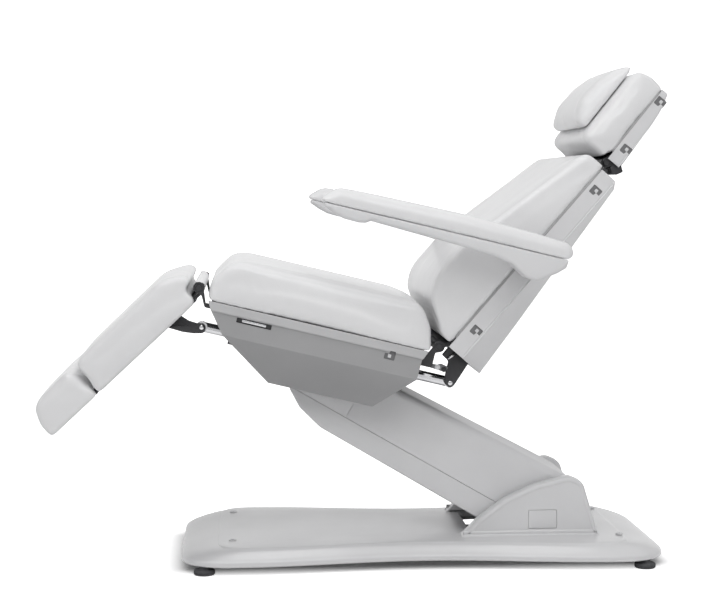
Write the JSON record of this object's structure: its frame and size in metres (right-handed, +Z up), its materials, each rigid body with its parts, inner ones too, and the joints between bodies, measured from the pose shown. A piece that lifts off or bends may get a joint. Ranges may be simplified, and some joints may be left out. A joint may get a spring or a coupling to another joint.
{
  "type": "facial bed",
  "caption": "Electric facial bed: padded seat, back, headrest with neck pillow, sliding leg rest and folding armrests on a slanted lift arm over a low moulded base.",
  "frame": {"origin": "on the floor, under the middle of the bed's outer box as it stands in the picture", "axes": "+X towards the head end, +Y towards the far armrest, +Z up"},
  "size_m": [1.4564, 0.806, 1.1686],
  "materials": {
    "leather": "soft white upholstery, fine grain",
    "cover_plastic": "satin pale grey moulding",
    "frame_steel": "dark grey powder coat",
    "bright_metal": "polished",
    "foot_rubber": "matt grey",
    "motor_plastic": "matt charcoal housing"
  },
  "bodies": {
    "base": {"base_frame": "frame_steel", "base_cover": "cover_plastic", "pivot_bracket": "frame_steel", "cheek_near": "cover_plastic", "cheek_far": "cover_plastic", "access_hatch_near": "cover_plastic", "access_hatch_far": "cover_plastic", "arm_pin_lower": "bright_metal", "link_pin_lower": "bright_metal", "levelling_foot_foot_near": "foot_rubber", "levelling_foot_foot_far": "foot_rubber", "levelling_foot_head_near": "foot_rubber", "levelling_foot_head_far": "foot_rubber"},
    "lift_arm": {"lift_arm": "frame_steel", "arm_cover_upper": "cover_plastic", "arm_cover_lower": "cover_plastic"},
    "level_link": {"level_link": "frame_steel"},
    "carriage": {"carriage": "frame_steel", "arm_pin_upper": "bright_metal", "link_pin_upper": "bright_metal", "tilt_pin": "bright_metal"},
    "seat": {"seat_frame": "frame_steel", "seat_skirt_near": "cover_plastic", "seat_skirt_far": "cover_plastic", "accessory_rail_near": "bright_metal", "accessory_rail_far": "bright_metal", "seat_front_cover": "cover_plastic", "seat_cushion": "leather", "control_box": "motor_plastic", "leg_axle": "bright_metal", "back_axle": "bright_metal"},
    "leg_rest": {"leg_frame": "frame_steel", "legrest_cushion": "leather", "leg_lever": "frame_steel"},
    "foot_rest": {"foot_slide": "frame_steel", "foot_cushion": "leather"},
    "back": {"back_frame": "frame_steel", "back_shell": "cover_plastic", "back_cushion": "leather", "back_lever": "frame_steel", "head_axle": "bright_metal"},
    "headrest": {"head_frame": "frame_steel", "headrest_shell": "cover_plastic", "headrest_cushion": "leather", "head_pillow": "leather"},
    "armrest_bracket_near": {"armrest_bracket_near": "frame_steel"},
    "armrest_near": {"armrest_tray_near": "cover_plastic", "armrest_pad_near": "leather"},
    "armrest_bracket_far": {"armrest_bracket_far": "frame_steel"},
    "armrest_far": {"armrest_tray_far": "cover_plastic", "armrest_pad_far": "leather"},
    "lift_motor": {"lift_motor": "motor_plastic"},
    "lift_rod": {"lift_rod": "bright_metal"},
    "tilt_motor": {"tilt_motor": "motor_plastic"},
    "tilt_rod": {"tilt_rod": "bright_metal"},
    "back_motor": {"back_motor": "motor_plastic"},
    "back_rod": {"back_rod": "bright_metal"},
    "leg_motor": {"leg_motor": "motor_plastic"},
    "leg_rod": {"leg_rod": "bright_metal"}
  },
  "joints": [
    {"name": "lift", "type": "hinge", "parent": "base", "child": "lift_arm", "pos_m": [0.453, 0, 0.122], "axis": [0, 1, 0], "range_deg": [-11, 15]},
    {"name": "link_pivot", "type": "hinge", "parent": "base", "child": "level_link", "pos_m": [0.477, 0, 0.164], "axis": [0, 1, 0], "range_deg": [-11.5, 15.5]},
    {"name": "carriage_pivot", "type": "hinge", "parent": "lift_arm", "child": "carriage", "pos_m": [-0.06662, 0, 0.422], "axis": [0, 1, 0], "range_deg": [-15.5, 11.5]},
    {"name": "lift_motor_pivot", "type": "hinge", "parent": "base", "child": "lift_motor", "pos_m": [0.453, -0.045, 0.066], "axis": [0, 1, 0], "range_deg": [-10.89, 14.67]},
    {"name": "lift_rod_pivot", "type": "hinge", "parent": "carriage", "child": "lift_rod", "pos_m": [-0.06662, -0.045, 0.422], "axis": [0, 1, 0], "range_deg": [-10.89, 14.67]},
    {"name": "seat_tilt", "type": "hinge", "parent": "carriage", "child": "seat", "pos_m": [-0.06662, 0, 0.514], "axis": [0, 1, 0], "range_deg": [-13.4, 6.6]},
    {"name": "tilt_motor_pivot", "type": "hinge", "parent": "carriage", "child": "tilt_motor", "pos_m": [-0.15862, 0, 0.482], "axis": [0, 1, 0], "range_deg": [-18.79, 9.51]},
    {"name": "tilt_rod_pivot", "type": "hinge", "parent": "seat", "child": "tilt_rod", "pos_m": [-0.28746, 0, 0.58378], "axis": [0, 1, 0], "range_deg": [-5.39, 2.91]},
    {"name": "back_recline", "type": "hinge", "parent": "seat", "child": "back", "pos_m": [0.18696, 0, 0.51907], "axis": [0, 1, 0], "range_deg": [0, 62.4]},
    {"name": "back_motor_pivot", "type": "hinge", "parent": "seat", "child": "back_motor", "pos_m": [-0.06141, -0.186, 0.49703], "axis": [0, 1, 0], "range_deg": [-0.5, 3.62]},
    {"name": "back_rod_pivot", "type": "hinge", "parent": "back", "child": "back_rod", "pos_m": [0.21702, -0.186, 0.43106], "axis": [0, 1, 0], "range_deg": [-59.78, 0.5]},
    {"name": "armrest_level_near", "type": "hinge", "parent": "back", "child": "armrest_bracket_near", "pos_m": [0.38654, -0.362, 0.70598], "axis": [0, 1, 0], "range_deg": [-62.9, 0.5]},
    {"name": "armrest_flip_near", "type": "hinge", "parent": "armrest_bracket_near", "child": "armrest_near", "pos_m": [0.38654, -0.362, 0.70598], "axis": [0, 1, 0], "range_deg": [0, 75]},
    {"name": "armrest_level_far", "type": "hinge", "parent": "back", "child": "armrest_bracket_far", "pos_m": [0.38654, 0.362, 0.70598], "axis": [0, 1, 0], "range_deg": [-62.9, 0.5]},
    {"name": "armrest_flip_far", "type": "hinge", "parent": "armrest_bracket_far", "child": "armrest_far", "pos_m": [0.38654, 0.362, 0.70598], "axis": [0, 1, 0], "range_deg": [0, 75]},
    {"name": "head_tilt", "type": "hinge", "parent": "back", "child": "headrest", "pos_m": [0.5808, 0, 0.9386], "axis": [0, 1, 0], "range_deg": [-15, 35]},
    {"name": "leg_lift", "type": "hinge", "parent": "seat", "child": "leg_rest", "pos_m": [-0.35811, 0, 0.65612], "axis": [0, 1, 0], "range_deg": [0, 56.4]},
    {"name": "leg_motor_pivot", "type": "hinge", "parent": "seat", "child": "leg_motor", "pos_m": [-0.12413, -0.186, 0.50992], "axis": [0, 1, 0], "range_deg": [-0.5, 2.76]},
    {"name": "leg_rod_pivot", "type": "hinge", "parent": "leg_rest", "child": "leg_rod", "pos_m": [-0.35354, -0.186, 0.56324], "axis": [0, 1, 0], "range_deg": [-54.64, 0.5]},
    {"name": "foot_slide", "type": "slide", "parent": "leg_rest", "child": "foot_rest", "axis": [-0.7314, 0, -0.682], "range_m": [0, 0.12]}
  ],
  "couplings": [
    {"joint": "link_pivot", "follows": "lift", "ratio": 1},
    {"joint": "carriage_pivot", "follows": "lift", "ratio": -1},
    {"joint": "lift_motor_pivot", "follows": "lift", "ratio": 0.945},
    {"joint": "lift_rod_pivot", "follows": "lift", "ratio": 0.945},
    {"joint": "tilt_motor_pivot", "follows": "seat_tilt", "ratio": 1.365},
    {"joint": "tilt_rod_pivot", "follows": "seat_tilt", "ratio": 0.365},
    {"joint": "back_motor_pivot", "follows": "back_recline", "ratio": 0.05},
    {"joint": "back_rod_pivot", "follows": "back_recline", "ratio": -0.95},
    {"joint": "armrest_level_near", "follows": "back_recline", "ratio": -1},
    {"joint": "armrest_level_far", "follows": "back_recline", "ratio": -1},
    {"joint": "leg_motor_pivot", "follows": "leg_lift", "ratio": 0.04},
    {"joint": "leg_rod_pivot", "follows": "leg_lift", "ratio": -0.96}
  ]
}
